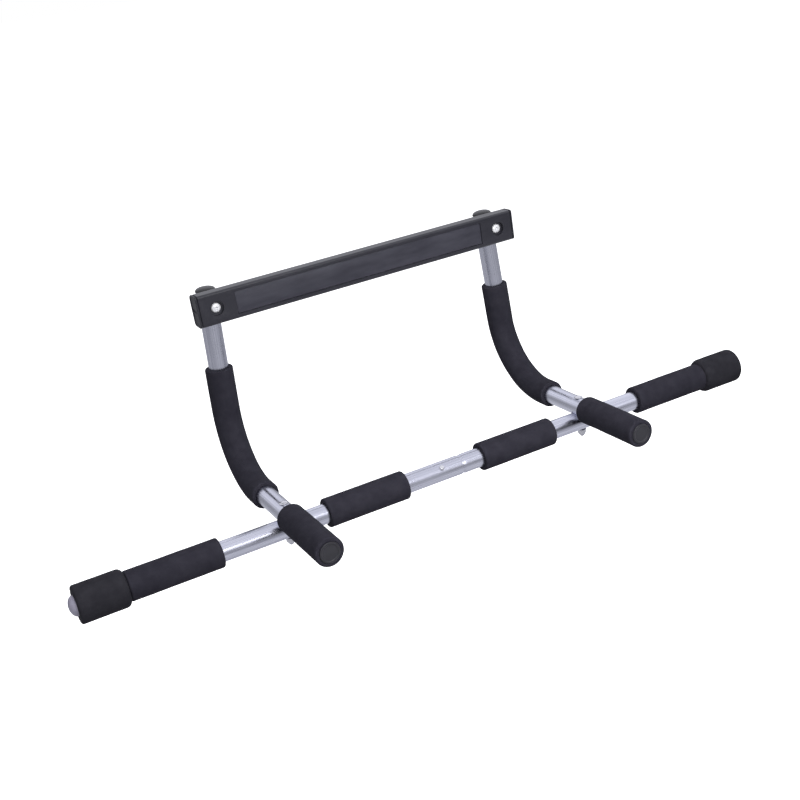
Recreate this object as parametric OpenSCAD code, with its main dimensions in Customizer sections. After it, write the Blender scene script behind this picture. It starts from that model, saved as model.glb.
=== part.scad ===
// Doorway pull up bar. A two-piece long bar carries two curved arms, which meet a crossbar
// that rests on the trim over the doorway. All sizes are in millimetres, +Z is up, +X runs
// along the long bar and -Y points to the user. The origin is the middle of the crossbar's
// underside. Sizes called heights and depths are measured from the long bar's axis.

/* [Long bar] */
// Length across the outer faces of the two end bumpers
bar_length = 940; // [900:5:980]
// Outer diameter of every steel tube
tube_od = 25; // [24.6:0.1:25.4]
// Wall of every steel tube
tube_wall = 1.5; // [1.2:0.1:1.8]
// Where the two halves of the long bar meet, from its middle
seam_x = 24; // [20:1:30]
// Length of the reduced spigot that enters the left half
spigot_length = 62; // [58:1:70]
// Length of the swaged taper behind the spigot
taper_length = 5; // [3:0.5:6]
// How far the domed end plugs stand out of the bumpers
plug_dome = 8; // [5:0.5:9]

/* [Snap button] */
// Position of the button along the bar
button_x = -5; // [-8:1:0]
// Angle of the button above the front horizontal
button_angle = 42; // [30:1:60]
// Diameter of the button
button_d = 6.4; // [5:0.2:7]
// Height of the button above the tube
button_proud = 3; // [2:0.25:4]
// Width of the leaf spring behind the button
spring_width = 6; // [4:0.5:7]
// Thickness of the leaf spring
spring_t = 0.8; // [0.5:0.1:1]

/* [Curved arms] */
// Half of the distance between the arms where they cross the long bar
arm_x = 212; // [205:1:218]
// Lean of each arm towards the middle, in degrees
arm_lean = 2.7; // [0:0.1:3]
// Height of the arm's axis where it crosses the long bar
arm_z = 19.5; // [18.5:0.1:20.5]
// Start of the bend, behind the long bar
bend_y = 83; // [78:1:88]
// Radius of the bend at the tube's axis
bend_r = 87.3; // [82:0.1:92]
// Height of the open top end of the arm's tube
arm_top = 260; // [259:0.5:263]
// Front end of the arm's tube, in front of the long bar
handle_front = 127; // [118:1:132]

/* [Crossbar] */
// Overall length of the crossbar with its end caps
crossbar_length = 452; // [440:1:460]
// Height of the crossbar
crossbar_h = 40.5; // [38:0.5:42]
// Depth of the crossbar, front to back
crossbar_d = 24; // [23:0.5:25]
// Height of the crossbar's underside
crossbar_z = 224; // [221:0.5:228]
// Wall of the moulded crossbar
shell_wall = 3; // [2.5:0.1:3.2]
// Length of the pad recess in the front face
pad_length = 352; // [320:2:360]
// Height of the pad recess
pad_h = 28.5; // [25:0.5:30]
// Depth of the pad recess
pad_recess = 2.2; // [1.8:0.1:2.4]
// Thickness of the wall pad
pad_t = 1.4; // [1:0.1:1.6]
// Diameter of the round recess around each bolt head
bolt_recess_d = 18.5; // [15:0.5:19]

/* [Foam] */
// Outer diameter of the straight grips
grip_od = 36.4; // [33:0.2:38]
// Outer diameter of the sleeves and handles on the arms
sleeve_od = 35.6; // [33:0.2:37]
// Outer diameter of the end bumpers
bumper_od = 45.6; // [42:0.2:47]
// Length of each end bumper
bumper_length = 59; // [54:1:62]
// Inner end of the outer grips, from the middle
outer_grip_start = 298.4; // [290:0.2:304]
// Inner end of the inner grips, from the middle
inner_grip_start = 54.4; // [48:0.2:60]
// Length of the inner grips
inner_grip_length = 108.2; // [100:0.2:112]
// Rear end of the handle grips, in front of the long bar's axis
handle_start = 17; // [16:0.5:20]
// Lower end of the arm sleeves, behind the long bar's axis
sleeve_y = 63.4; // [54:0.2:68]
// Upper end of the arm sleeves
sleeve_z = 160; // [150:1:170]

/* [Fasteners] */
// Diameter of the bolts through the crossbar
crossbar_bolt_d = 6; // [5.5:0.1:6.2]
// Diameter of the bolts through the long bar
bar_bolt_d = 6; // [5.5:0.1:6.2]

/* [Hidden] */
$fn = 64;

// Clearance of pieces that sit round or inside a tube without moving
gap = 0.1;
// Overshoot of a cutting shape past the faces it cuts
over = 1;
// How far the arm's tube is pressed flat against the crossbar
seat_flat = 0.3;

tube_r = tube_od / 2;
bore_r = tube_r - tube_wall;
spigot_r = bore_r - gap;
spigot_bore_r = spigot_r - 1.4;
half_bar = bar_length / 2;
plug_flange = 2;
tube_end = half_bar - plug_flange;
bumper_start = half_bar - bumper_length;

arm_y = bend_y + bend_r;
bend_top = arm_z + bend_r;
crossbar_back = arm_y - tube_r + seat_flat;
crossbar_front = crossbar_back - crossbar_d;
crossbar_mid_z = crossbar_z + crossbar_h / 2;
bolt_x = arm_x - (crossbar_mid_z - arm_z) * tan(arm_lean);
rest_y = crossbar_back - crossbar_d / 2;

cap_t = 3.4;
shell_half = crossbar_length / 2 - cap_t;
front_wall = 4;
cavity_front = crossbar_front + front_wall;
cavity_back = crossbar_back - shell_wall;
core_d = 12.3;
core_h = 26;
core_wall = 1.5;
core_half = shell_half - 11;
core_back = cavity_back - 0.2;
head_seat = crossbar_front + 4.5;
boss_r = 12;

bolt_r = crossbar_bolt_d / 2;
bolt_hole_r = bolt_r + 0.3;
bolt_head_r = 6.1;
bolt_head_h = 3.2;
bolt_socket_af = 4;
bolt_end = arm_y + tube_r + 10;
washer_t = 1.2;
washer_r = 6.2;
nut_af = 10;
nut_h = 4.6;
nut_collar_r = 4.5;
nut_collar_h = 1.6;

bar_bolt_r = bar_bolt_d / 2;
bar_bolt_hole_r = bar_bolt_r + 0.2;
bar_head_r = 5.4;
bar_head_h = 2;
bar_bolt_end = -tube_r - washer_t - nut_h - nut_collar_h - 2.5;

button_r = button_d / 2;
button_hole_r = button_r + 0.05;
button_tip = tube_r + button_proud;
foot_r = 4.2;
foot_t = 1;
foot_top = 8.3;
spring_gap = 0.05;

handle_cap_t = 4;
handle_face = handle_front + 2.5;

// Moves a shape from the long bar's axis to the crossbar's underside
module placed() {
    translate([0, -rest_y, -crossbar_z])
        children();
}

// Cylinder from x0 to x1 along X
module rod_x(x0, x1, r) {
    translate([x0, 0, 0])
        rotate([0, 90, 0])
            cylinder(h = x1 - x0, r = r);
}

// Cylinder from y0 to y1 along Y
module rod_y(y0, y1, r) {
    translate([0, y0, 0])
        rotate([-90, 0, 0])
            cylinder(h = y1 - y0, r = r);
}

// Cylinder from z0 to z1 along Z
module rod_z(z0, z1, r) {
    translate([0, 0, z0])
        cylinder(h = z1 - z0, r = r);
}

// Sleeve from x0 to x1 along X
module sleeve_x(x0, x1, r, hole_r) {
    difference() {
        rod_x(x0, x1, r);
        rod_x(x0 - over, x1 + over, hole_r);
    }
}

// Hexagonal prism, given across its flats
module hexagon(af, h) {
    cylinder(h = h, r = af / 2 / cos(30), $fn = 6);
}

// Puts the arm's plane at its place on one side: side is -1 for left and 1 for right
module on_arm(side) {
    translate([side * arm_x, 0, arm_z])
        rotate([0, -side * arm_lean, 0])
            translate([0, 0, -arm_z])
                children();
}

// Rod of radius r along the arm's axis, from y0 in front to z1 at the top
module arm_rod(y0, z1, r) {
    translate([0, 0, arm_z])
        rod_y(y0, bend_y, r);
    translate([0, bend_y, bend_top])
        rotate([0, -90, 0])
            rotate_extrude(angle = -90)
                translate([-bend_r, 0])
                    circle(r = r);
    translate([0, arm_y, 0])
        rod_z(bend_top, z1, r);
}

// Sets what follows on the button's axis, with +Z along the way it stands out
module on_button() {
    translate([button_x, 0, 0])
        rotate([90 - button_angle, 0, 0])
            children();
}

// Holes for the bolt through a tube of the long bar
module bar_bolt_hole(side) {
    translate([side * arm_x, 0, 0])
        rod_z(-tube_r - over, tube_r + over, bar_bolt_hole_r);
}

module long_bar_left() {
    color("gainsboro")
        placed()
            difference() {
                rod_x(-tube_end, seam_x, tube_r);
                rod_x(-tube_end - over, seam_x + over, bore_r);
                bar_bolt_hole(-1);
                on_button()
                    rod_z(0, tube_r + over, button_hole_r);
            }
}

module long_bar_right() {
    spigot_end = seam_x - spigot_length;
    taper_end = seam_x + taper_length;
    color("gainsboro")
        placed()
            difference() {
                rotate([0, 90, 0])
                    rotate_extrude()
                        polygon([[spigot_bore_r, spigot_end], [spigot_r, spigot_end],
                            [spigot_r, seam_x], [tube_r, taper_end], [tube_r, tube_end],
                            [bore_r, tube_end], [bore_r, taper_end], [spigot_bore_r, seam_x]]);
                bar_bolt_hole(1);
                on_button()
                    rod_z(0, tube_r, button_hole_r);
            }
}

module snap_button() {
    crown = 1.6;
    color("silver")
        placed()
            on_button()
                rotate_extrude()
                    polygon(concat([[0, foot_top - foot_t], [foot_r, foot_top - foot_t],
                        [foot_r, foot_top], [button_r, foot_top]],
                        [for (a = [0:15:90]) [button_r - crown + crown * cos(a),
                            button_tip - crown + crown * sin(a)]],
                        [[0, button_tip]]));
}

// Leaf spring bent to a V: one leg lies on the far wall, the other carries the button
module button_spring() {
    lower = -sqrt(spigot_bore_r * spigot_bore_r - spring_width * spring_width / 4) + spring_gap;
    upper = foot_top - foot_t - spring_gap - spring_t;
    turn_r = 2.5;
    turn_x = -24;
    turn_h = lower + turn_r;
    flat_x = -foot_r - 1;
    tip_x = foot_r + 2;
    color("lightsteelblue")
        placed()
            on_button()
                rotate([90, 0, 0])
                    translate([0, 0, -spring_width / 2])
                        linear_extrude(height = spring_width)
                            polygon(concat(
                                [[tip_x, lower], [tip_x, lower + spring_t]],
                                [for (a = [270:-15:90]) [turn_x + (turn_r - spring_t) * cos(a),
                                    turn_h + (turn_r - spring_t) * sin(a)]],
                                [[flat_x, upper], [tip_x, upper],
                                    [tip_x, upper + spring_t], [flat_x, upper + spring_t]],
                                [for (a = [90:15:270]) [turn_x + turn_r * cos(a),
                                    turn_h + turn_r * sin(a)]]));
}

// Bent tube, pressed to a saddle on the long bar and to a flat on the crossbar
module curved_arm(side) {
    saddle_r = tube_r + gap;
    color("gainsboro")
        placed()
            difference() {
                union() {
                    difference() {
                        on_arm(side) arm_rod(-handle_front, arm_top, tube_r);
                        on_arm(side) arm_rod(-handle_front - over, arm_top + over, bore_r);
                    }
                    intersection() {
                        on_arm(side)
                            translate([0, 0, arm_z])
                                rod_y(-2 * tube_r, 2 * tube_r, tube_r);
                        rod_x(side * arm_x - 2 * tube_r, side * arm_x + 2 * tube_r,
                            saddle_r + tube_wall);
                    }
                }
                rod_x(side * arm_x - 3 * tube_r, side * arm_x + 3 * tube_r, saddle_r);
                translate([side * arm_x, 0, 0])
                    rod_z(0, arm_z + 2 * tube_r, bar_bolt_hole_r);
                translate([side * bolt_x - 2 * tube_r, crossbar_back - 2 * over, crossbar_z - over])
                    cube([4 * tube_r, 2 * over, arm_top]);
                translate([side * bolt_x, 0, crossbar_mid_z])
                    rod_y(arm_y - 2 * tube_r, arm_y + 2 * tube_r, bolt_hole_r);
            }
}

module curved_arm_left() {
    curved_arm(-1);
}

module curved_arm_right() {
    curved_arm(1);
}

// Outline of the crossbar, depth along +X and height along +Y, drawn in by an inset
module crossbar_outline(inset) {
    d = crossbar_d - 2 * inset;
    h = crossbar_h - 2 * inset;
    front_low = 4 - inset;
    front_high = 3.2 - inset;
    back_low = 4.6 - inset;
    back_high = 8 - inset;
    translate([inset, inset]) {
        polygon([[0, front_low], [front_low, 0], [d - back_low, 0], [d, back_low],
            [d, h - back_high], [d - back_high, h], [front_high, h], [0, h - front_high]]);
        translate([front_low, front_low]) circle(r = front_low);
        translate([front_high, h - front_high]) circle(r = front_high);
        translate([d - back_low, back_low]) circle(r = back_low);
        translate([d - back_high, h - back_high]) circle(r = back_high);
    }
}

// Crossbar outline swept from x0 to x1
module crossbar_sweep(x0, x1, inset) {
    translate([x0, crossbar_front, crossbar_z])
        rotate([90, 0, 90])
            linear_extrude(height = x1 - x0)
                crossbar_outline(inset);
}

// Inside of the crossbar from x0 to x1, drawn in by a clearance
module crossbar_inside(x0, x1, clearance) {
    intersection() {
        crossbar_sweep(x0, x1, shell_wall + clearance);
        translate([x0 - over, cavity_front + clearance, crossbar_z])
            cube([x1 - x0 + 2 * over, crossbar_d, crossbar_h]);
    }
}

// Both bolt places on the crossbar
module at_bolts() {
    for (side = [-1, 1])
        translate([side * bolt_x, 0, crossbar_mid_z])
            children();
}

module crossbar_shell() {
    color([0.16, 0.16, 0.18])
        placed()
            difference() {
                union() {
                    difference() {
                        crossbar_sweep(-shell_half, shell_half, 0);
                        crossbar_inside(-shell_half - over, shell_half + over, 0);
                    }
                    at_bolts()
                        rod_y(crossbar_front + front_wall / 2, core_back - core_d - gap, boss_r);
                }
                translate([-pad_length / 2, crossbar_front - over, crossbar_mid_z - pad_h / 2])
                    cube([pad_length, pad_recess + over, pad_h]);
                at_bolts() {
                    rod_y(crossbar_front - over, head_seat, bolt_recess_d / 2);
                    rod_y(crossbar_front, crossbar_back + over, bolt_hole_r);
                }
            }
}

module crossbar_core() {
    color("dimgray")
        placed()
            difference() {
                translate([-core_half, core_back - core_d, crossbar_mid_z - core_h / 2])
                    cube([2 * core_half, core_d, core_h]);
                translate([-core_half - over, core_back - core_d + core_wall,
                    crossbar_mid_z - core_h / 2 + core_wall])
                    cube([2 * core_half + 2 * over, core_d - 2 * core_wall,
                        core_h - 2 * core_wall]);
                at_bolts()
                    rod_y(crossbar_front, crossbar_back, bolt_hole_r);
            }
}

// End cap: a rimmed plate with a slot, a sunk seam where it meets the crossbar,
// and a plug that fills the crossbar's open end
module crossbar_end_cap(side) {
    rim = 2.4;
    sunk = 0.8;
    plug = 9;
    seam_w = 1.3;
    seam_d = 1.2;
    slot_in = 4;
    slot_h = 4;
    slot_d = 1.8;
    mirror([side < 0 ? 1 : 0, 0, 0])
        difference() {
            union() {
                crossbar_sweep(shell_half, shell_half + cap_t / 2, seam_d);
                crossbar_sweep(shell_half + seam_w, shell_half + cap_t, 0);
                crossbar_inside(shell_half - plug, shell_half + cap_t / 2, gap);
            }
            crossbar_sweep(shell_half + cap_t - sunk, shell_half + cap_t + over, rim);
            translate([shell_half + cap_t - slot_d, crossbar_front + slot_in,
                crossbar_mid_z - slot_h / 2])
                cube([slot_d + over, crossbar_d - 2 * slot_in, slot_h]);
        }
}

module crossbar_end_cap_left() {
    color([0.2, 0.2, 0.22])
        placed()
            crossbar_end_cap(-1);
}

module crossbar_end_cap_right() {
    color([0.2, 0.2, 0.22])
        placed()
            crossbar_end_cap(1);
}

module wall_pad() {
    edge = 0.3;
    color([0.22, 0.22, 0.25])
        placed()
            translate([-pad_length / 2 + edge, crossbar_front + pad_recess - pad_t,
                crossbar_mid_z - pad_h / 2 + edge])
                cube([pad_length - 2 * edge, pad_t, pad_h - 2 * edge]);
}

// Button-head bolts with a hexagonal socket
module crossbar_bolts() {
    color("whitesmoke")
        placed()
            at_bolts()
                difference() {
                    union() {
                        rod_y(head_seat - 1, bolt_end, bolt_r);
                        rotate([90, 0, 0])
                            translate([0, 0, -head_seat])
                                rotate_extrude()
                                    polygon(concat([[0, 0], [bolt_head_r, 0]],
                                        [for (a = [10:16:90]) [bolt_head_r * cos(a),
                                            bolt_head_h * sin(a)]],
                                        [[0, bolt_head_h]]));
                    }
                    translate([0, head_seat - bolt_head_h - over, 0])
                        rotate([-90, 0, 0])
                            hexagon(bolt_socket_af, over + 2);
                }
}

module crossbar_washers() {
    color("silver")
        placed()
            at_bolts()
                difference() {
                    rod_y(arm_y + tube_r + gap / 2, arm_y + tube_r + washer_t, washer_r);
                    rod_y(arm_y, bolt_end, bolt_hole_r);
                }
}

// Lock nuts on the crossbar's bolts
module crossbar_nuts() {
    seat = arm_y + tube_r + washer_t;
    color("silver")
        placed()
            at_bolts()
                difference() {
                    union() {
                        translate([0, seat, 0])
                            rotate([-90, 0, 0])
                                hexagon(nut_af, nut_h);
                        rod_y(seat + nut_h, seat + nut_h + nut_collar_h, nut_collar_r);
                    }
                    rod_y(arm_y, bolt_end + over, bolt_r + gap / 2);
                }
}

// Both bolt places on the long bar
module at_crossings() {
    for (side = [-1, 1])
        translate([side * arm_x, 0, 0])
            children();
}

// Low domed bolts that clamp the arms on the long bar
module crossing_bolts() {
    seat = arm_z + tube_r;
    color("whitesmoke")
        placed()
            at_crossings() {
                rod_z(bar_bolt_end, seat + 1, bar_bolt_r);
                translate([0, 0, seat])
                    rotate_extrude()
                        polygon(concat([[0, 0], [bar_head_r, 0]],
                            [for (a = [10:16:90]) [bar_head_r * cos(a), bar_head_h * sin(a)]],
                            [[0, bar_head_h]]));
            }
}

module crossing_washers() {
    color("silver")
        placed()
            at_crossings()
                difference() {
                    rod_z(-tube_r - washer_t, -tube_r - gap / 2, washer_r);
                    rod_z(-tube_r - 2 * washer_t, 0, bar_bolt_hole_r);
                }
}

// Lock nuts under the long bar
module crossing_nuts() {
    seat = -tube_r - washer_t;
    color("silver")
        placed()
            at_crossings()
                difference() {
                    union() {
                        translate([0, 0, seat - nut_h])
                            hexagon(nut_af, nut_h);
                        rod_z(seat - nut_h - nut_collar_h, seat - nut_h, nut_collar_r);
                    }
                    rod_z(bar_bolt_end - over, 0, bar_bolt_r + gap / 2);
                }
}

// Thick foam bumper with rounded ends, for one side
module end_bumper(side) {
    inner_round = 7;
    outer_round = 3;
    r = bumper_od / 2;
    hole = tube_r + gap;
    color([0.13, 0.13, 0.14])
        placed()
            rotate([0, side * 90, 0])
                rotate_extrude()
                    union() {
                        polygon([[hole, bumper_start], [r - inner_round, bumper_start],
                            [r, bumper_start + inner_round], [r, half_bar - outer_round],
                            [r - outer_round, half_bar], [hole, half_bar]]);
                        translate([r - inner_round, bumper_start + inner_round])
                            intersection() {
                                circle(r = inner_round);
                                translate([-over, -inner_round])
                                    square([inner_round + over, inner_round]);
                            }
                        translate([r - outer_round, half_bar - outer_round])
                            circle(r = outer_round);
                    }
}

module end_bumper_left() {
    end_bumper(-1);
}

module end_bumper_right() {
    end_bumper(1);
}

// Straight grip on the long bar
module bar_grip(x0, x1) {
    color([0.14, 0.14, 0.16])
        placed()
            sleeve_x(x0, x1, grip_od / 2, tube_r + gap);
}

module outer_grip_left() {
    bar_grip(-bumper_start + gap, -outer_grip_start);
}

module outer_grip_right() {
    bar_grip(outer_grip_start, bumper_start - gap);
}

module inner_grip_left() {
    bar_grip(-inner_grip_start - inner_grip_length, -inner_grip_start);
}

module inner_grip_right() {
    bar_grip(inner_grip_start, inner_grip_start + inner_grip_length);
}

// Foam sleeve round the bend of one arm
module arm_sleeve(side) {
    color([0.14, 0.14, 0.16])
        placed()
            on_arm(side)
                difference() {
                    arm_rod(sleeve_y, sleeve_z, sleeve_od / 2);
                    arm_rod(sleeve_y - over, sleeve_z + over, tube_r + gap);
                }
}

module arm_sleeve_left() {
    arm_sleeve(-1);
}

module arm_sleeve_right() {
    arm_sleeve(1);
}

// Foam grip on the front end of one arm
module handle_grip(side) {
    color([0.14, 0.14, 0.16])
        placed()
            on_arm(side)
                translate([0, 0, arm_z])
                    difference() {
                        rod_y(-handle_face, -handle_start, sleeve_od / 2);
                        rod_y(-handle_face - over, -handle_start + over, tube_r + gap);
                    }
}

module handle_grip_left() {
    handle_grip(-1);
}

module handle_grip_right() {
    handle_grip(1);
}

// Domed plug in the outer end of the long bar
module bar_end_plug(side) {
    stem = 18;
    dome_r = (tube_r * tube_r + plug_dome * plug_dome) / (2 * plug_dome);
    dome_half = asin(tube_r / dome_r);
    color([0.62, 0.61, 0.66])
        placed()
            rotate([0, side * 90, 0])
                rotate_extrude()
                    polygon(concat([[0, tube_end - stem], [bore_r - gap, tube_end - stem],
                        [bore_r - gap, tube_end], [tube_r, tube_end], [tube_r, half_bar]],
                        [for (i = [1:11]) let (a = dome_half * (1 - i / 12))
                            [dome_r * sin(a), half_bar + plug_dome - dome_r * (1 - cos(a))]],
                        [[0, half_bar + plug_dome]]));
}

module bar_end_plug_left() {
    bar_end_plug(-1);
}

module bar_end_plug_right() {
    bar_end_plug(1);
}

// Flat plug in the front end of one handle
module handle_end_cap(side) {
    stem = 16;
    round_r = 1.2;
    color([0.26, 0.26, 0.28])
        placed()
            on_arm(side)
                translate([0, -handle_front, arm_z])
                    rotate([90, 0, 0])
                        rotate_extrude()
                            union() {
                                polygon([[0, -stem], [bore_r - gap, -stem], [bore_r - gap, gap],
                                    [tube_r, gap], [tube_r, handle_cap_t - round_r],
                                    [tube_r - round_r, handle_cap_t], [0, handle_cap_t]]);
                                translate([tube_r - round_r, handle_cap_t - round_r])
                                    circle(r = round_r);
                            }
}

module handle_end_cap_left() {
    handle_end_cap(-1);
}

module handle_end_cap_right() {
    handle_end_cap(1);
}

// Low domed cap on the top end of one arm
module arm_top_cap(side) {
    stem = 10;
    flange = 1.6;
    dome = 4;
    cap_r = tube_r + 0.5;
    color([0.12, 0.12, 0.13])
        placed()
            difference() {
                on_arm(side)
                    translate([0, arm_y, arm_top])
                        rotate_extrude()
                            polygon(concat([[0, -stem], [bore_r - gap, -stem],
                                [bore_r - gap, gap], [cap_r, gap], [cap_r, flange]],
                                [for (a = [8:82 / 7:90]) [cap_r * cos(a), flange + dome * sin(a)]],
                                [[0, flange + dome]]));
                translate([side * bolt_x - 2 * tube_r, crossbar_front, crossbar_mid_z])
                    cube([4 * tube_r, crossbar_d + gap, crossbar_h]);
            }
}

module arm_top_cap_left() {
    arm_top_cap(-1);
}

module arm_top_cap_right() {
    arm_top_cap(1);
}

long_bar_left();
long_bar_right();
snap_button();
button_spring();
curved_arm_left();
curved_arm_right();
crossbar_shell();
crossbar_core();
crossbar_end_cap_left();
crossbar_end_cap_right();
wall_pad();
crossbar_bolts();
crossbar_washers();
crossbar_nuts();
crossing_bolts();
crossing_washers();
crossing_nuts();
end_bumper_left();
end_bumper_right();
outer_grip_left();
outer_grip_right();
inner_grip_left();
inner_grip_right();
arm_sleeve_left();
arm_sleeve_right();
handle_grip_left();
handle_grip_right();
bar_end_plug_left();
bar_end_plug_right();
handle_end_cap_left();
handle_end_cap_right();
arm_top_cap_left();
arm_top_cap_right();
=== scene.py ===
"""Doorway pull up bar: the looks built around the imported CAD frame. Lengths are metres."""
from math import atan, atan2, cos, hypot, pi, radians, sin, sqrt, tan

import bmesh
import bpy
import numpy as np
from mathutils import Matrix, Vector, noise


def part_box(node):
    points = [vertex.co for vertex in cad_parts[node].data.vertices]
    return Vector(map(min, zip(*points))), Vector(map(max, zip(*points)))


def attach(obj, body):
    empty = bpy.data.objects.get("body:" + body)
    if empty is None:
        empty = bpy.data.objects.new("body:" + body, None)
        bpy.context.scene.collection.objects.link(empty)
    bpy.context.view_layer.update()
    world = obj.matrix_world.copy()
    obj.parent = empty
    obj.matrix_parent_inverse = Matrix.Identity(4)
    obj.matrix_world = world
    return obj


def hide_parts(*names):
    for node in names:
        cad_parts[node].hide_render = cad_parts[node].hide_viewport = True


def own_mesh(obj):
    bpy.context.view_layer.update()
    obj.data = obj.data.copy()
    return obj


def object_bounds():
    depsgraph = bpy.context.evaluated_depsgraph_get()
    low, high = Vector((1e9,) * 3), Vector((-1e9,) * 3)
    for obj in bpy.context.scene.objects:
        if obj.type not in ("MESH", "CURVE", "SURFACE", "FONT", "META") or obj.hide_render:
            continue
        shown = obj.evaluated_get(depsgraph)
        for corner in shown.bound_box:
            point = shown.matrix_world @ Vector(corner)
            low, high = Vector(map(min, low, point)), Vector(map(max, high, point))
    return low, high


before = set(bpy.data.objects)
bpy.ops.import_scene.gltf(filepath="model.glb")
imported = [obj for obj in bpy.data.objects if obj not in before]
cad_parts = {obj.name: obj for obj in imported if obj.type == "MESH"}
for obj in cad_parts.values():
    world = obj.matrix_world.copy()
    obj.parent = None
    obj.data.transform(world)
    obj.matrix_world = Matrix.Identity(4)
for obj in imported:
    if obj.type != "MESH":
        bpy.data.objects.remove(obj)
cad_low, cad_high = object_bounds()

MM = 0.001
SIDES = (("left", -1), ("right", 1))
scene = bpy.context.scene


# ---------------------------------------------------------------- places taken from the frame

def middle(node):
    low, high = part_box(node)
    return (low + high) / 2


def size(node):
    low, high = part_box(node)
    return high - low


bar_mid = middle("long_bar_left")
BAR_Y, BAR_Z = bar_mid.y, bar_mid.z
TUBE_R = size("long_bar_left").z / 2
TUBE_WALL = 1.5 * MM
BORE_R = TUBE_R - TUBE_WALL
SEAM_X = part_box("long_bar_left")[1].x
SPIGOT_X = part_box("long_bar_right")[0].x
TUBE_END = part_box("long_bar_right")[1].x
SLEEVE_GAP = 0.1 * MM

handle_mid = middle("handle_grip_right")
ARM_X, ARM_Z = handle_mid.x, handle_mid.z
bolt_low, bolt_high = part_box("crossbar_bolts")
BOLT_HEAD_R = (bolt_high.z - bolt_low.z) / 2
BOLT_X = bolt_high.x - BOLT_HEAD_R
BOLT_Z = (bolt_high.z + bolt_low.z) / 2
ARM_LEAN = atan((ARM_X - BOLT_X) / (BOLT_Z - ARM_Z))
ARM_BACK_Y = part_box("curved_arm_right")[1].y - TUBE_R
# Along an arm's tube, s starts over the long bar. The tube starts at HANDLE_S in front of it,
# runs straight to RUN_S, bends up to UPRIGHT_S and ends at ARM_TOP_S
BEND_R = 87.3 * MM
BEND_Y = ARM_BACK_Y - BEND_R
HANDLE_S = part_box("curved_arm_right")[0].y - BAR_Y
RUN_S = BEND_Y - BAR_Y
UPRIGHT_S = RUN_S + BEND_R * pi / 2
arm_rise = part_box("curved_arm_right")[1].z - ARM_Z - TUBE_R * sin(ARM_LEAN)
ARM_TOP_S = UPRIGHT_S + arm_rise / cos(ARM_LEAN) - BEND_R


def bar_path(s):
    """Centre, side and up directions of the long bar at s along X."""
    return np.array((s, BAR_Y, BAR_Z)), np.array((0, 1, 0)), np.array((0, 0, 1))


def arm_path(side):
    """Path of one arm: s is measured back from the long bar along the tube's axis."""
    pivot = np.array((side * ARM_X, 0, ARM_Z))
    lean = np.array(Matrix.Rotation(-side * ARM_LEAN, 3, "Y"))

    def place(y, z):
        return pivot + lean @ np.array((0, y, z - ARM_Z))

    def at(s):
        across = lean @ np.array((1, 0, 0))
        if s < RUN_S:
            return place(BAR_Y + s, ARM_Z), across, lean @ np.array((0, 0, 1))
        if s < UPRIGHT_S:
            turn = (s - RUN_S) / BEND_R
            centre = place(BEND_Y + BEND_R * sin(turn), ARM_Z + BEND_R * (1 - cos(turn)))
            return centre, across, lean @ np.array((0, -sin(turn), cos(turn)))
        up = ARM_Z + BEND_R + s - UPRIGHT_S
        return place(ARM_BACK_Y, up), across, lean @ np.array((0, -1, 0))

    return at


def line_path(start, direction, side):
    """Straight path from start; side is any direction square to it."""
    start, direction, side = (np.array(v, float) for v in (start, direction, side))
    direction /= np.linalg.norm(direction)
    side /= np.linalg.norm(side)
    return lambda s: (start + s * direction, side, np.cross(direction, side))


# ---------------------------------------------------------------- meshes

def outline(corners, step, closed=True, arc_steps=6):
    """(s, r) points through the corners (s, r, fillet), each rounded by its fillet."""
    points = []
    count = len(corners)
    for i, (s, r, fillet) in enumerate(corners):
        here = np.array((s, r))
        if fillet == 0:
            points.append(here)
            continue
        to_last = np.array(corners[i - 1][:2]) - here
        to_next = np.array(corners[(i + 1) % count][:2]) - here
        to_last /= np.linalg.norm(to_last)
        to_next /= np.linalg.norm(to_next)
        half = np.arccos(np.clip(to_last @ to_next, -1, 1)) / 2
        middle_way = (to_last + to_next) / np.linalg.norm(to_last + to_next)
        centre = here + middle_way * fillet / sin(half)
        first = here + to_last * fillet / tan(half) - centre
        last = here + to_next * fillet / tan(half) - centre
        sweep = pi - 2 * half
        for k in range(arc_steps + 1):
            a = sweep * k / arc_steps
            points.append(centre + (sin(sweep - a) * first + sin(a) * last) / sin(sweep))
    dense = []
    ends = points[1:] + points[:1] if closed else points[1:]
    for a, b in zip(points, ends):
        parts = max(1, int(np.ceil(np.linalg.norm(b - a) / step)))
        dense += [tuple(a + (b - a) * k / parts) for k in range(parts)]
    if not closed:
        dense.append(tuple(points[-1]))
    return dense


def hexagon(half_flat, limit=None):
    """Radius of a hexagon ring, cut back to limit at its corners."""
    def radius(theta):
        r = half_flat / np.cos((theta % (pi / 3)) - pi / 6)
        return r if limit is None else np.minimum(r, limit)
    return radius


def add_mesh(name, points, faces):
    """Object of a cleaned mesh, with its faces turned outwards."""
    mesh = bpy.data.meshes.new(name)
    mesh.from_pydata([tuple(p) for p in points], [], faces)
    work = bmesh.new()
    work.from_mesh(mesh)
    bmesh.ops.remove_doubles(work, verts=work.verts, dist=1e-7)
    bmesh.ops.dissolve_degenerate(work, dist=1e-8, edges=work.edges)
    bmesh.ops.recalc_face_normals(work, faces=work.faces)
    work.to_mesh(mesh)
    work.free()
    piece = bpy.data.objects.new(name, mesh)
    scene.collection.objects.link(piece)
    return piece


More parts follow.
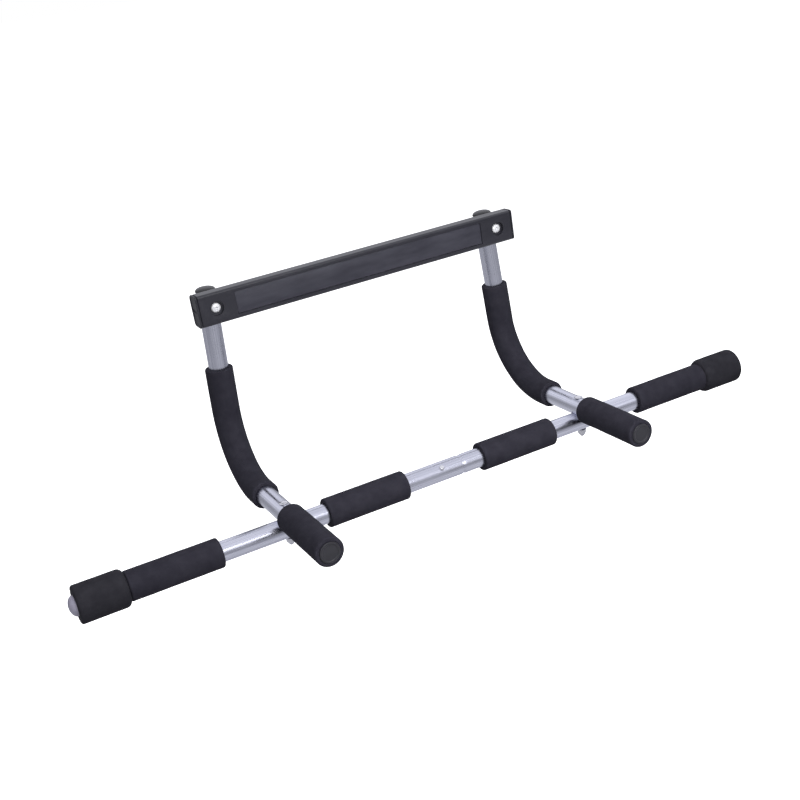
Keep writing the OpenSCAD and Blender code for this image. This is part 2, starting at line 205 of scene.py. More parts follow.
def turned(name, rings, path, around=96, closed=True, swell=None):
    """Rings (s, radius) carried along a path; radius is a number or a function of angle.
    swell(s, theta, r) is added to every radius."""
    theta = np.linspace(0, 2 * pi, around, endpoint=False)
    points = []
    for s, radius in rings:
        centre, side, up = path(s)
        r = radius(theta) if callable(radius) else np.full(around, float(radius))
        if swell is not None:
            r = r + swell(s, theta, r)
        points.append(centre + np.outer(r * np.cos(theta), side) + np.outer(r * np.sin(theta), up))
    faces = []
    count = len(rings)
    for i in range(count if closed else count - 1):
        a, b = i * around, (i + 1) % count * around
        nexts = [(j + 1) % around for j in range(around)]
        faces += [(a + j, a + k, b + k, b + j) for j, k in enumerate(nexts)]
    return add_mesh(name, np.concatenate(points), faces)


def smooth(piece, sharp_angle=35):
    """Smooth shading, but for edges sharper than sharp_angle degrees."""
    piece.data.polygons.foreach_set("use_smooth", [True] * len(piece.data.polygons))
    piece.data.set_sharp_from_angle(angle=radians(sharp_angle))


def cut(piece, *cutters):
    """Takes the cutters out of the piece."""
    for cutter in cutters:
        tool = piece.modifiers.new("cut", "BOOLEAN")
        tool.operation = "DIFFERENCE"
        tool.solver = "EXACT"
        tool.object = cutter
    bpy.context.view_layer.update()
    made = piece.evaluated_get(bpy.context.evaluated_depsgraph_get())
    mesh = bpy.data.meshes.new_from_object(made)
    piece.modifiers.clear()
    piece.data = mesh
    for cutter in cutters:
        bpy.data.objects.remove(cutter)


def softened(node, name, width):
    """Copy of a CAD node's shape with its sharp edges rounded."""
    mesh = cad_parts[node].data.copy()
    mesh.materials.clear()
    if "custom_normal" in mesh.attributes:
        mesh.attributes.remove(mesh.attributes["custom_normal"])
    work = bmesh.new()
    work.from_mesh(mesh)
    bmesh.ops.remove_doubles(work, verts=work.verts, dist=2e-6)
    bmesh.ops.dissolve_limit(work, angle_limit=radians(1.2), verts=work.verts, edges=work.edges)
    sharp = [e for e in work.edges if e.is_manifold and e.calc_face_angle(0) > radians(30)]
    bmesh.ops.bevel(work, geom=sharp, offset=width, segments=3, profile=0.5,
                    affect="EDGES", clamp_overlap=True)
    work.to_mesh(mesh)
    work.free()
    piece = bpy.data.objects.new(name, mesh)
    scene.collection.objects.link(piece)
    smooth(piece, 40)
    return piece


def finished(piece, finish, nodes, body="frame"):
    """Gives a piece its material and ties it to the frame."""
    piece.data.materials.clear()
    piece.data.materials.append(finish)
    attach(piece, body)
    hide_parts(*nodes)


# ---------------------------------------------------------------- materials

class Finish:
    """A node material with short names for what its nodes need."""

    def __init__(self, name, **shader_values):
        self.material = bpy.data.materials.new(name)
        self.material.use_nodes = True
        self.tree = self.material.node_tree
        self.shader = self.tree.nodes["Principled BSDF"]
        for key, value in shader_values.items():
            self.shader.inputs[key.replace("_", " ")].default_value = value

    def node(self, kind, inputs=None, **settings):
        made = self.tree.nodes.new(kind)
        for key, value in settings.items():
            setattr(made, key, value)
        for key, value in (inputs or {}).items():
            if isinstance(value, bpy.types.NodeSocket):
                self.tree.links.new(value, made.inputs[key])
            else:
                made.inputs[key].default_value = value
        return made

    def object_space(self, scale):
        spot = self.node("ShaderNodeTexCoord").outputs["Object"]
        return self.node("ShaderNodeMapping", {"Vector": spot, "Scale": scale}).outputs[0]

    def flow_space(self, scale):
        spot = self.node("ShaderNodeAttribute", attribute_name="flow").outputs["Vector"]
        return self.node("ShaderNodeMapping", {"Vector": spot, "Scale": scale}).outputs[0]

    def noise(self, vector, scale=1.0, detail=3.0, roughness=0.5):
        return self.node("ShaderNodeTexNoise", {"Vector": vector, "Scale": scale,
                         "Detail": detail, "Roughness": roughness}).outputs["Fac"]

    def cells(self, vector, scale):
        return self.node("ShaderNodeTexVoronoi", {"Vector": vector, "Scale": scale}).outputs["Distance"]

    def spread(self, value, low, high, start=0.3, end=0.7):
        """Maps a noise's range start to end onto low to high."""
        return self.node("ShaderNodeMapRange", {"Value": value, "From Min": start, "From Max": end,
                         "To Min": low, "To Max": high}).outputs["Result"]

    def blend(self, value, dark, light, start=0.3, end=0.7):
        fac = self.spread(value, 0.0, 1.0, start, end)
        made = self.node("ShaderNodeMix", data_type="RGBA")
        self.tree.links.new(fac, made.inputs[0])
        made.inputs[6].default_value = (*dark, 1)
        made.inputs[7].default_value = (*light, 1)
        return made.outputs[2]

    def add(self, a, b, share=1.0):
        made = self.node("ShaderNodeMath", {0: b, 1: share, 2: a}, operation="MULTIPLY_ADD")
        return made.outputs[0]

    def colour(self, socket):
        self.tree.links.new(socket, self.shader.inputs["Base Color"])

    def rough(self, socket):
        self.tree.links.new(socket, self.shader.inputs["Roughness"])

    def bump(self, height, depth, strength=1.0):
        made = self.node("ShaderNodeBump", {"Height": height, "Distance": depth, "Strength": strength})
        self.tree.links.new(made.outputs[0], self.shader.inputs["Normal"])


def plated_steel():
    """Chrome plate with the drawn tube's lengthwise streaks under it."""
    f = Finish("plated_steel", Metallic=1.0)
    streaks = f.noise(f.flow_space((700, 700, 5)), detail=4)
    broad = f.noise(f.flow_space((160, 160, 3)), detail=2)
    haze = f.noise(f.flow_space((60, 60, 60)), detail=4)
    mixed = f.add(streaks, broad, 0.6)
    f.colour(f.blend(mixed, (0.57, 0.58, 0.665), (0.78, 0.79, 0.875), 0.6, 1.0))
    f.rough(f.spread(f.add(haze, streaks, 0.5), 0.21, 0.35, 0.5, 1.0))
    f.bump(mixed, 0.00006, 0.2)
    return f.material


def bright_steel(name, tone, low, high, metallic=1.0):
    f = Finish(name, Metallic=metallic)
    grain = f.noise(f.object_space((900, 900, 900)), detail=3)
    patches = f.noise(f.object_space((120, 120, 120)), detail=3)
    f.colour(f.blend(patches, tuple(0.8 * c for c in tone), tone))
    f.rough(f.spread(patches, low, high))
    f.bump(grain, 0.00003, 0.4)
    return f.material


def foam(name, dark, light):
    """Closed-cell foam: fine pores, soft mottling and a dull skin."""
    f = Finish(name, Specular_IOR_Level=0.12)
    pores = f.cells(f.object_space((1, 1, 1)), 900)
    fine = f.noise(f.object_space((1, 1, 1)), scale=1900, detail=2)
    patches = f.noise(f.object_space((1, 1, 1)), scale=70, detail=4)
    f.colour(f.blend(patches, dark, light))
    f.rough(f.spread(fine, 0.78, 0.95))
    f.bump(f.add(fine, pores, 0.8), 0.0004, 0.5)
    return f.material


def moulded(name, dark, light, low, high, grain_size, coat=0.0):
    """Moulded plastic with a fine spark-eroded grain; low and high bound its roughness."""
    f = Finish(name, Specular_IOR_Level=0.5, Coat_Weight=coat, Coat_Roughness=0.3)
    grain = f.cells(f.object_space((1, 1, 1)), 1 / grain_size)
    flow = f.noise(f.object_space((14, 60, 60)), detail=4, roughness=0.6)
    f.colour(f.blend(flow, dark, light))
    f.rough(f.spread(flow, low, high))
    f.bump(grain, 0.00008, 0.5)
    return f.material


STEEL = plated_steel()
BUTTON = bright_steel("button_steel", (0.86, 0.86, 0.88), 0.12, 0.2)
SPRING = bright_steel("spring_steel", (0.42, 0.45, 0.52), 0.25, 0.4)
ZINC = bright_steel("bright_fasteners", (0.80, 0.80, 0.84), 0.14, 0.3)
# Lit copy of the zinc for the crossbar bolts: its near-white, half-metallic base colour is a painted
# highlight on their heads
ZINC_PAINTED_HIGHLIGHT = bright_steel("zinc_painted_highlight", (0.93, 0.93, 0.95), 0.16, 0.26, metallic=0.45)
GRIP = foam("grip_foam", (0.0195, 0.0185, 0.026), (0.027, 0.026, 0.035))
BUMPER = foam("bumper_foam", (0.017, 0.0165, 0.021), (0.025, 0.0245, 0.030))
CROSSBAR = moulded("crossbar_plastic", (0.009, 0.0088, 0.014), (0.016, 0.0156, 0.022),
                   0.34, 0.46, 0.0005, coat=0.4)
CAP = moulded("cap_plastic", (0.010, 0.0098, 0.014), (0.017, 0.0166, 0.022), 0.36, 0.5, 0.0005)
PAD = moulded("pad_rubber", (0.018, 0.0178, 0.026), (0.040, 0.0395, 0.052), 0.38, 0.6, 0.0009)
HANDLE_CAP = moulded("handle_cap_plastic", (0.015, 0.0148, 0.018), (0.026, 0.0256, 0.031),
                     0.3, 0.45, 0.0006)
BLACK_CAP = moulded("black_cap_plastic", (0.009, 0.009, 0.010), (0.014, 0.014, 0.016),
                    0.22, 0.36, 0.0006)
GREY_PLUG = moulded("grey_plug", (0.27, 0.255, 0.33), (0.36, 0.345, 0.43), 0.3, 0.45, 0.0006)
PAINTED = moulded("painted_core", (0.05, 0.05, 0.052), (0.07, 0.07, 0.073), 0.4, 0.6, 0.0012)


# ---------------------------------------------------------------- foam

FOAM_SWELL = 0.22 * MM
FOAM_STEP = 2.5 * MM


def foam_swell(seed):
    """Gentle unevenness of a foam sleeve's outer side."""
    def swell(s, theta, r):
        around = [noise.noise((1.3 * cos(t) + seed, 1.3 * sin(t), s * 28)) for t in theta]
        close = [noise.noise((4 * cos(t), 4 * sin(t) + seed, s * 120)) for t in theta]
        outer = r > TUBE_R + 1 * MM
        return outer * FOAM_SWELL * (np.array(around) + 0.4 * np.array(close))
    return swell


def foam_sleeve(node, path, start, end, radius, finish, seed, rounds=(2.2 * MM, 2.2 * MM)):
    """Foam tube from start to end along a path; rounds are the fillets of its two rims."""
    hole = TUBE_R + SLEEVE_GAP
    rings = outline([(start, hole, 0.6 * MM), (start, radius, rounds[0]),
                     (end, radius, rounds[1]), (end, hole, 0.6 * MM)], FOAM_STEP)
    piece = turned(node + "_foam", rings, path, around=112, swell=foam_swell(seed))
    smooth(piece, 60)
    finished(piece, finish, [node])


for index, (hand, side) in enumerate(SIDES):
    for part, kind in (("outer_grip", GRIP), ("inner_grip", GRIP), ("end_bumper", BUMPER)):
        node = f"{part}_{hand}"
        low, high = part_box(node)
        rounds = (2.0 * MM, 2.0 * MM)
        if part == "end_bumper":
            rounds = (7 * MM, 3 * MM) if side > 0 else (3 * MM, 7 * MM)
        foam_sleeve(node, bar_path, low.x, high.x, (high.z - low.z) / 2, kind,
                    3.1 * index + 1, rounds)
    path = arm_path(side)
    low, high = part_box(f"handle_grip_{hand}")
    arm_foam_r = (high.z - low.z) / 2
    foam_sleeve(f"handle_grip_{hand}", path, low.y - BAR_Y, high.y - BAR_Y, arm_foam_r,
                GRIP, 5.7 * index + 2)
    low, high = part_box(f"arm_sleeve_{hand}")
    sleeve_top = UPRIGHT_S + (high.z - ARM_Z - arm_foam_r * sin(ARM_LEAN)) / cos(ARM_LEAN) - BEND_R
    foam_sleeve(f"arm_sleeve_{hand}", path, low.y - BAR_Y, sleeve_top, arm_foam_r,
                GRIP, 7.3 * index + 4)


# ---------------------------------------------------------------- tubes

def bar_flow(p):
    """Place of a point of the long bar: across, up and along it."""
    return (p.y - BAR_Y, p.z - BAR_Z, p.x)


def arm_flow(side):
    """The same for an arm, as if it were straightened."""
    pivot = Vector((side * ARM_X, 0, ARM_Z))
    back = Matrix.Rotation(side * ARM_LEAN, 3, "Y")

    def at(p):
        q = back @ (p - pivot)
        y, z = q.y - BEND_Y, q.z - BEND_R
        if y < 0:
            return (q.x, q.z, q.y - BAR_Y)
        if z > 0:
            return (q.x, BEND_R - y, UPRIGHT_S + z)
        return (q.x, BEND_R - hypot(y, z), RUN_S + BEND_R * atan2(y, -z))
    return at


def store_flow(piece, at):
    """Stores each point's place as the attribute flow, so that streaks can run along a bent tube."""
    attribute = piece.data.attributes.new("flow", "FLOAT_VECTOR", "POINT")
    for i, v in enumerate(piece.data.vertices):
        attribute.data[i].vector = at(v.co)


def rod(start, end, radius):
    """Cylinder that cuts a hole."""
    start, end = Vector(start), Vector(end)
    direction = end - start
    path = line_path(start, direction, direction.orthogonal())
    return turned("rod", [(0, 0), (0, radius), (direction.length, radius), (direction.length, 0)],
                  path, around=48, closed=False)


BAR_HOLE_R = 3.2 * MM
BOLT_HOLE_R = 3.3 * MM
BUTTON_X = -5 * MM
BUTTON_R = 3.2 * MM
BUTTON_HOLE_R = BUTTON_R + 0.12 * MM
BUTTON_ANGLE = radians(42)
button_mid = Vector((BUTTON_X, BAR_Y, BAR_Z))
button_way = Vector((0, -cos(BUTTON_ANGLE), sin(BUTTON_ANGLE)))


def bar_bolt_hole(side):
    low = (side * ARM_X, BAR_Y, BAR_Z - 2 * TUBE_R)
    high = (side * ARM_X, BAR_Y, BAR_Z + 2 * TUBE_R)
    return rod(low, high, BAR_HOLE_R)


def button_hole():
    return rod(button_mid, button_mid + button_way * 2 * TUBE_R, BUTTON_HOLE_R)


# A tube's rims are rounded by LIP; the right half tapers to a spigot inside the left one
LIP = 0.45 * MM
SPIGOT_WALL = 1.4 * MM
TAPER_LENGTH = 5 * MM
left_rings = outline([(-TUBE_END, BORE_R, LIP), (-TUBE_END, TUBE_R, LIP),
                      (SEAM_X, TUBE_R, 0.7 * MM), (SEAM_X, BORE_R, LIP)], 4 * MM)
left_bar = turned("long_bar_left_tube", left_rings, bar_path, around=96)
cut(left_bar, bar_bolt_hole(-1), button_hole())
spigot_r = BORE_R - SLEEVE_GAP
spigot_bore_r = spigot_r - SPIGOT_WALL
taper_end = SEAM_X + TAPER_LENGTH
right_rings = outline([(SPIGOT_X, spigot_bore_r, LIP), (SPIGOT_X, spigot_r, LIP),
                       (SEAM_X + 0.4 * MM, spigot_r, 1.2 * MM), (taper_end, TUBE_R, 3 * MM),
                       (TUBE_END, TUBE_R, LIP), (TUBE_END, BORE_R, LIP),
                       (taper_end, BORE_R, 2 * MM), (SEAM_X, spigot_bore_r, 2 * MM)], 4 * MM)
right_bar = turned("long_bar_right_tube", right_rings, bar_path, around=96)
cut(right_bar, bar_bolt_hole(1), button_hole())
for hand, piece in (("left", left_bar), ("right", right_bar)):
    store_flow(piece, bar_flow)
    smooth(piece)
    finished(piece, STEEL, [f"long_bar_{hand}"])


def pressed(piece, side):
    """Presses the tube to a saddle over the long bar and to a flat against the crossbar.
    The wall keeps its thickness at the saddle."""
    pivot = Vector((side * ARM_X, 0, ARM_Z))
    back = Matrix.Rotation(side * ARM_LEAN, 3, "Y")
    shell_low, shell_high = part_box("crossbar_shell")
    for v in piece.data.vertices:
        from_axis = back @ (v.co - pivot)
        in_bore = hypot(from_axis.x, from_axis.z) < (BORE_R + TUBE_R) / 2
        saddle = TUBE_R + SLEEVE_GAP + (TUBE_WALL if in_bore else 0)
        y, z = v.co.y - BAR_Y, v.co.z - BAR_Z
        reach = hypot(y, z)
        lower = max(0.0, min(1.0, (ARM_Z - v.co.z) / TUBE_R + 0.6))
        soft = 0.8 * MM * lower
        if reach < saddle + 3 * soft and z > 0:
            gap = reach - saddle
            # a smooth maximum keeps the rim of the pressed saddle rounded
            out = saddle + (gap + sqrt(gap * gap + soft * soft)) / 2 if soft > 0 else max(reach, saddle)
            v.co.y = BAR_Y + y * out / reach
            v.co.z = BAR_Z + z * out / reach
        if shell_low.z - 1 * MM < v.co.z < shell_high.z + 1 * MM:
            v.co.y = max(v.co.y, shell_high.y)


def mirrored(piece, name):
    """Copy of a piece on the other side of the middle."""
    mesh = piece.data.copy()
    mesh.transform(Matrix.Scale(-1, 4, (1, 0, 0)))
    mesh.flip_normals()
    copy = bpy.data.objects.new(name, mesh)
    scene.collection.objects.link(copy)
    return copy


arm_rings = outline([(HANDLE_S, BORE_R, LIP), (HANDLE_S, TUBE_R, LIP),
                     (ARM_TOP_S, TUBE_R, LIP), (ARM_TOP_S, BORE_R, LIP)], 1.6 * MM)
left_arm = turned("curved_arm_left_tube", arm_rings, arm_path(-1), around=96)
pressed(left_arm, -1)
cut(left_arm,
    rod((-ARM_X, BAR_Y, BAR_Z), (-ARM_X, BAR_Y, BAR_Z + 4 * TUBE_R), BAR_HOLE_R),
    rod((-BOLT_X, ARM_BACK_Y - 2 * TUBE_R, BOLT_Z), (-BOLT_X, ARM_BACK_Y + 2 * TUBE_R, BOLT_Z), BOLT_HOLE_R))
right_arm = mirrored(left_arm, "curved_arm_right_tube")
for hand, side, arm in (("left", -1, left_arm), ("right", 1, right_arm)):
    store_flow(arm, arm_flow(side))
    smooth(arm)
    finished(arm, STEEL, [f"curved_arm_{hand}"])


# ---------------------------------------------------------------- crossbar and plastics

finished(softened("crossbar_shell", "crossbar_moulding", 0.5 * MM), CROSSBAR,
         ["crossbar_shell"])
finished(softened("wall_pad", "wall_pad_strip", 0.5 * MM), PAD, ["wall_pad"])
for hand, side in SIDES:
    node = f"crossbar_end_cap_{hand}"
    finished(softened(node, f"crossbar_cap_{hand}", 0.35 * MM), CAP, [node])

PLUG_DOME_H = 8 * MM
TOP_CAP_R = 13 * MM
TOP_CAP_RIM_H = 1.6 * MM
TOP_CAP_DOME_H = 4 * MM
TOP_CAP_DEPTH = 12 * MM
PLUG_R = BORE_R - SLEEVE_GAP
PLUG_TIP_R = BORE_R - 0.8 * MM


def cap_piece(name, rings, path, finish, node):
    piece = turned(name, rings, path, around=72, closed=False)
    smooth(piece, 45)
    finished(piece, finish, [node])


for hand, side in SIDES:
    # handle end: a disc with a raised rim, on a plug inside the tube
    node = f"handle_end_cap_{hand}"
    low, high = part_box(node)
    front, inner, cap_r = low.y - BAR_Y, high.y - BAR_Y, (high.z - low.z) / 2
    rings = outline([(front + 0.9 * MM, 0, 0), (front + 0.9 * MM, cap_r - 3.2 * MM, 0.8 * MM),
                     (front, cap_r - 2.4 * MM, 0.5 * MM), (front, cap_r, 1.2 * MM),
                     (HANDLE_S, cap_r, 0.1 * MM), (HANDLE_S, PLUG_R, 0.1 * MM),
                     (inner, PLUG_TIP_R, 0.5 * MM), (inner, 0, 0)], 2 * MM, closed=False)
    cap_piece(f"handle_cap_{hand}", rings, arm_path(side), HANDLE_CAP, node)

    # long bar end: a smooth dome
    node = f"bar_end_plug_{hand}"
    low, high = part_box(node)
    out = max(abs(low.x), abs(high.x))
    inner = min(abs(low.x), abs(high.x))
    dome_angles = np.linspace(0, pi / 2, 14)
    dome = [(out - PLUG_DOME_H * (1 - cos(a)), TUBE_R * sin(a)) for a in dome_angles]
    rings = dome + outline([(out - PLUG_DOME_H, TUBE_R, 0), (TUBE_END, TUBE_R, 0.4 * MM),
                            (TUBE_END, PLUG_R, 0.2 * MM), (inner, PLUG_TIP_R, 0.5 * MM),
                            (inner, 0, 0)], 3 * MM, closed=False)[1:]
    plug_path = line_path((0, BAR_Y, BAR_Z), (side, 0, 0), (0, 1, 0))
    cap_piece(f"end_plug_{hand}", rings, plug_path, GREY_PLUG, node)

    # top of the upright: a flanged cap with a low dome
    node = f"arm_top_cap_{hand}"
    rim = ARM_TOP_S + TOP_CAP_RIM_H
    plug_end = ARM_TOP_S - TOP_CAP_DEPTH
    dome_angles = np.linspace(0, pi / 2, 12)
    dome = [(rim + TOP_CAP_DOME_H * cos(a), (TOP_CAP_R - 0.6 * MM) * sin(a)) for a in dome_angles]
    rings = dome + outline([(rim, TOP_CAP_R, 0.3 * MM), (ARM_TOP_S, TOP_CAP_R, 0.4 * MM),
                            (ARM_TOP_S, PLUG_R, 0.2 * MM), (plug_end, PLUG_TIP_R, 0.5 * MM),
                            (plug_end, 0, 0)], 2 * MM, closed=False)
    cap_piece(f"top_cap_{hand}", rings, arm_path(side), BLACK_CAP, node)


# ---------------------------------------------------------------- fasteners

def thread_rings(start, end, radius, pitch, depth):
    """Rings of a screw thread from start to end."""
    def ring(s):
        return s, lambda theta: radius - depth * (0.5 + 0.5 * np.cos(theta - 2 * pi * s / pitch))
    count = int((end - start) / (pitch / 8))
    return [ring(start + (end - start) * k / count) for k in range(count + 1)]


def bolt_end_rings(start, end, radius, pitch):
    """Plain shank, a thread over its last part, and a chamfered end."""
    chamfer = 0.8 * MM
    thread_start = max(start + 1 * MM, end - 16 * MM)
    return ([(start, radius), (thread_start - 0.4 * MM, radius)]
            + thread_rings(thread_start, end - chamfer, radius, pitch, 0.61 * pitch)
            + [(end, radius - chamfer), (end, 0)])


def button_bolt(name, start, direction, length, head_r, head_h, radius, pitch, socket=None):
    """Domed bolt: start is the middle of the head's seat, direction points to its end.
    socket is the half width and depth of a hexagon socket."""
    top = -head_h
    rim = 0.5 * MM
    dome_top = radians(74)
    dome_rise = (head_h - rim) / sin(dome_top)
    rings = [(top, 0)]
    if socket:
        half, deep = socket
        rings = [(top + deep + half * 0.3, 0), (top + deep, hexagon(half)),
                 (top + 0.15 * MM, hexagon(half)), (top + 0.02 * MM, hexagon(half * 1.06)),
                 (top, half * 1.28)]
    rings += [(-rim - dome_rise * sin(a), head_r * cos(a)) for a in np.linspace(dome_top, 0, 9)]
    rings += [(-0.12 * MM, head_r), (0, head_r - 0.12 * MM)]
    rings += bolt_end_rings(0, length, radius, pitch)
    direction = Vector(direction)
    path = line_path(start, direction, direction.orthogonal())
    piece = turned(name, rings, path, around=60, closed=False)
    smooth(piece, 38)
    return piece


def lock_nut(name, start, direction, half_flat, height, collar_r, collar_h, hole):
    """Hexagon nut with chamfered corners and a round collar; start is the middle of its seat."""
    corner = half_flat / cos(pi / 6)
    steps = np.linspace(0, 1, 6)
    cone = [(1.1 * MM * t * t, half_flat * 0.96 + (corner - half_flat * 0.96) * t) for t in steps]
    rings = [(0.2 * MM, hole), (0, hole + 0.3 * MM)]
    rings += [(s, hexagon(half_flat, limit)) for s, limit in cone]
    rings += [(height - s, hexagon(half_flat, limit)) for s, limit in reversed(cone)]
    rings += [(height, collar_r + 0.3 * MM), (height + 0.3 * MM, collar_r)]
    end = height + collar_h
    rings += [(end - 0.5 * MM, collar_r), (end, collar_r - 0.5 * MM)]
    rings += [(end, hole + 0.7 * MM), (end - 0.5 * MM, hole + 0.2 * MM), (height * 0.5, hole)]
    direction = Vector(direction)
    piece = turned(name, rings, line_path(start, direction, direction.orthogonal()), around=96)
    smooth(piece, 30)
    return piece


BOLT_R = 3 * MM
PITCH = 1 * MM
HEAD_H = 3.2 * MM
BAR_HEAD_H = 2 * MM
NUT = {"half_flat": 5 * MM, "height": 4.6 * MM, "collar_r": 4.5 * MM, "collar_h": 1.6 * MM,
       "hole": BOLT_R + 0.05 * MM}
nut_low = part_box("crossbar_nuts")[0]
bar_bolt_low, bar_bolt_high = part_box("crossing_bolts")
BAR_BOLT_HEAD_R = (bar_bolt_high.y - bar_bolt_low.y) / 2
bar_nut_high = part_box("crossing_nuts")[1]
for hand, side in SIDES:
    at = Vector((side * BOLT_X, bolt_low.y + HEAD_H, BOLT_Z))
    bolt = button_bolt(f"crossbar_bolt_{hand}", at, (0, 1, 0), bolt_high.y - at.y, BOLT_HEAD_R, HEAD_H,
                       BOLT_R, PITCH, socket=(2 * MM, 2 * MM))
    finished(bolt, ZINC_PAINTED_HIGHLIGHT, ["crossbar_bolts"])
    at.y = nut_low.y
    nut = lock_nut(f"crossbar_nut_{hand}", at, (0, 1, 0), **NUT)
    finished(nut, ZINC, ["crossbar_nuts"])
    at = Vector((side * ARM_X, BAR_Y, bar_bolt_high.z - BAR_HEAD_H))
    bolt = button_bolt(f"crossing_bolt_{hand}", at, (0, 0, -1), at.z - bar_bolt_low.z,
                       BAR_BOLT_HEAD_R, BAR_HEAD_H, BOLT_R, PITCH)
    finished(bolt, ZINC, ["crossing_bolts"])
    at.z = bar_nut_high.z
    nut = lock_nut(f"crossing_nut_{hand}", at, (0, 0, -1), **NUT)
    finished(nut, ZINC, ["crossing_nuts"])
for joint in ("crossbar", "crossing"):
    pair = softened(f"{joint}_washers", f"{joint}_washer_pair", 0.2 * MM)
    finished(pair, ZINC, [f"{joint}_washers"])

# The snap button: a flanged foot, a pin and a rounded crown, measured from the bar's axis
BUTTON_FOOT_R = 4.2 * MM
BUTTON_BASE = 7.3 * MM
BUTTON_NECK = BUTTON_BASE + 1 * MM
BUTTON_TIP = TUBE_R + 3 * MM
CROWN_FILLET = 1.6 * MM
rings = outline([(BUTTON_BASE, 0, 0), (BUTTON_BASE, BUTTON_FOOT_R, 0.2 * MM),
                 (BUTTON_NECK, BUTTON_FOOT_R, 0.2 * MM), (BUTTON_NECK, BUTTON_R, 0.2 * MM),
                 (BUTTON_TIP, BUTTON_R, CROWN_FILLET), (BUTTON_TIP, 0, 0)],
                1 * MM, closed=False, arc_steps=10)
button_path = line_path(button_mid, button_way, (1, 0, 0))
button = turned("snap_button_pin", rings, button_path, around=64, closed=False)
smooth(button, 40)
finished(button, BUTTON, ["snap_button"], body="button")

# The leaf spring keeps its CAD shape, softened, with a mesh of its own; the real one flattens towards the
# tube's far wall as the button goes in
spring = softened("button_spring", "button_leaf_spring", 0.1 * MM)
finished(spring, SPRING, ["button_spring"])
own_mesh(spring)

for core_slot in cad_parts["crossbar_core"].material_slots:
    core_slot.material = PAINTED


# ---------------------------------------------------------------- floor, light and camera

FLOOR_DROP = 0.30
FLOOR_HALF = 80.0
floor_z = cad_low.z - FLOOR_DROP
floor_corners = [(x * FLOOR_HALF, y * FLOOR_HALF, floor_z) for x, y in ((-1, -1), (1, -1), (1, 1), (-1, 1))]
floor = add_mesh("floor", floor_corners, [(0, 1, 2, 3)])
floor_finish = Finish("floor_white", Roughness=0.9, Specular_IOR_Level=0.0,
                      Emission_Color=(1, 1, 1, 1), Emission_Strength=1.0)
floor_grain = floor_finish.noise(floor_finish.object_space((2, 2, 2)))
floor_finish.colour(floor_finish.blend(floor_grain, (0.93, 0.93, 0.935), (0.95, 0.95, 0.95)))
floor.data.materials.append(floor_finish.material)
floor.visible_glossy = False
floor.visible_diffuse = False


# Brightness by height, from straight down (-1) to straight up (1): of the even light that
# falls on the object, and of the room that its reflections show
AMBIENT_LEVELS = [(-1.0, 0.12), (0.0, 0.28), (1.0, 0.46)]
ROOM_LEVELS = [(-1.0, 0.56), (-0.7, 0.68), (-0.4, 0.50), (-0.2, 0.36), (0.0, 0.32), (0.15, 0.60),
               (0.36, 0.96), (0.52, 1.0), (0.7, 0.90), (0.87, 0.90), (1.0, 0.86)]


def studio_world():
    """White to the camera, an even graded light for the object, and a graded room in reflections."""
    world = bpy.data.worlds.new("studio")
    scene.world = world
    world.use_nodes = True
    tree = world.node_tree
    tree.nodes.clear()
    out = tree.nodes.new("ShaderNodeOutputWorld")
    where = tree.nodes.new("ShaderNodeTexCoord")
    split = tree.nodes.new("ShaderNodeSeparateXYZ")
    tree.links.new(where.outputs["Generated"], split.inputs[0])
    lift = tree.nodes.new("ShaderNodeMath")
    lift.operation = "MULTIPLY_ADD"
    lift.inputs[1].default_value = 0.5
    lift.inputs[2].default_value = 0.5
    tree.links.new(split.outputs["Z"], lift.inputs[0])

    def graded(levels):
        made = tree.nodes.new("ShaderNodeBackground")
        ramp = tree.nodes.new("ShaderNodeValToRGB")
        tree.links.new(lift.outputs[0], ramp.inputs[0])
        stops = ramp.color_ramp.elements
        while len(stops) < len(levels):
            stops.new(0.5)
        for stop, (height, shade) in zip(stops, levels):
            stop.position = height * 0.5 + 0.5
            stop.color = (shade * 0.97, shade * 0.98, shade * 1.06, 1)
        tree.links.new(ramp.outputs[0], made.inputs["Color"])
        return made

    def pick(ray, if_not, if_so):
        made = tree.nodes.new("ShaderNodeMixShader")
        tree.links.new(rays.outputs[ray], made.inputs[0])
        tree.links.new(if_not.outputs[0], made.inputs[1])
        tree.links.new(if_so.outputs[0], made.inputs[2])
        return made

    rays = tree.nodes.new("ShaderNodeLightPath")
    white = tree.nodes.new("ShaderNodeBackground")
    white.inputs["Color"].default_value = (1, 1, 1, 1)
    lit = pick("Is Glossy Ray", graded(AMBIENT_LEVELS), graded(ROOM_LEVELS))
    tree.links.new(pick("Is Camera Ray", lit, white).outputs[0], out.inputs["Surface"])


studio_world()


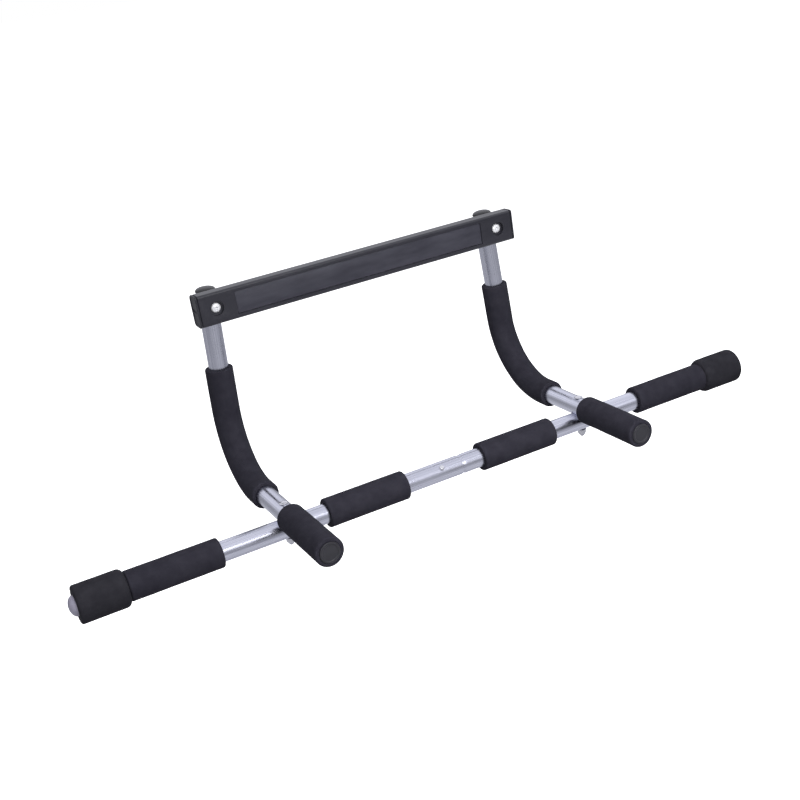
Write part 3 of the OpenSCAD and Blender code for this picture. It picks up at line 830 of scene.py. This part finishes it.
def softbox(name, at, target, width, height, power, in_reflections):
    """Rectangular lamp of power watts that looks from at to target."""
    data = bpy.data.lights.new(name, "AREA")
    data.shape = "RECTANGLE"
    data.size = width
    data.size_y = height
    data.energy = power
    lamp = bpy.data.objects.new(name, data)
    lamp.location = at
    lamp.rotation_mode = "QUATERNION"
    lamp.rotation_quaternion = (Vector(target) - Vector(at)).to_track_quat("-Z", "Y")
    lamp.visible_glossy = in_reflections
    scene.collection.objects.link(lamp)


softbox("key_light", (0.2, -1.5, 0.9), (0, -0.1, -0.15), 0.9, 0.6, 15.5, False)
softbox("front_light", (-1.1, -1.8, 0.5), (0.1, 0, -0.15), 1.2, 1.0, 13.5, False)
softbox("near_light", (0.10, -0.65, 0.10), (0.05, -0.1, -0.15), 0.3, 0.25, 1.9, False)
softbox("top_light", (0.2, 0.3, 2.4), (0, 0, 0), 2.0, 1.6, 16, False)
softbox("streak_card", (0.42, -2.4, 1.15), (-0.25, -0.15, -0.22), 0.6, 0.3, 2.1, True)
softbox("taper_card", (-0.26, -1.55, 0.45), (0.03, -0.15, -0.22), 0.25, 0.7, 1.6, True)

# The camera stands at the photograph's angle
CAMERA_AT = Vector((-0.59197, -1.37494, 0.40081))
CAMERA_YAW, CAMERA_PITCH, CAMERA_ROLL = 0.4211, 0.3655, -0.1655
forward = Vector((sin(CAMERA_YAW) * cos(CAMERA_PITCH),
                  cos(CAMERA_YAW) * cos(CAMERA_PITCH),
                  -sin(CAMERA_PITCH)))
level = Vector((cos(CAMERA_YAW), -sin(CAMERA_YAW), 0))
right = cos(CAMERA_ROLL) * level + sin(CAMERA_ROLL) * level.cross(forward)
up = right.cross(forward)
camera_data = bpy.data.cameras.new("camera")
camera_data.lens = 53.669
camera_data.sensor_width = 36
camera_data.clip_start = 0.05
camera_data.clip_end = 60
camera = bpy.data.objects.new("camera", camera_data)
camera_turn = Matrix((right, up, -forward)).transposed().to_4x4()
camera.matrix_world = Matrix.Translation(CAMERA_AT) @ camera_turn
scene.collection.objects.link(camera)
scene.camera = camera
scene.view_settings.view_transform = "Standard"
